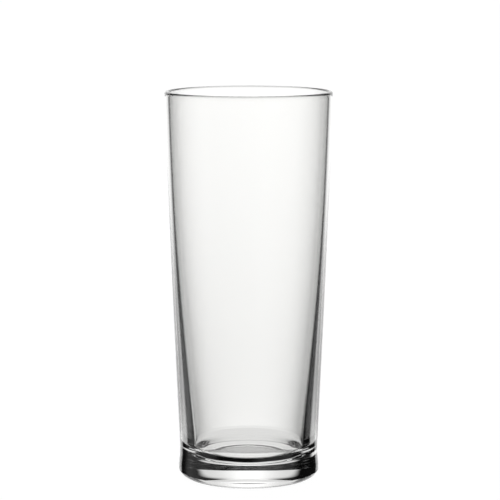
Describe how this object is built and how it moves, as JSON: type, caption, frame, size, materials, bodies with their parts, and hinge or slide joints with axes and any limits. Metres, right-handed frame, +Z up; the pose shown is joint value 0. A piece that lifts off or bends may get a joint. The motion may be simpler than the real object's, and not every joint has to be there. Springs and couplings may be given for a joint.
{
  "type": "pint glass",
  "caption": "Tall clear tapered tumbler with a rounded lip, thick base, narrow waist and slightly flared foot, for serving a pint of beer or other cold drinks.",
  "frame": {"origin": "on the axis of the glass, in the plane of the standing ring it rests on", "axes": "+Z up along the axis of the glass towards the lip; X and Y are alike, as the glass is round"},
  "size_m": [0.079, 0.079, 0.184],
  "materials": {
    "glass": "clear, fire polished"
  },
  "bodies": {
    "root": {"glass": "glass"}
  },
  "joints": []
}
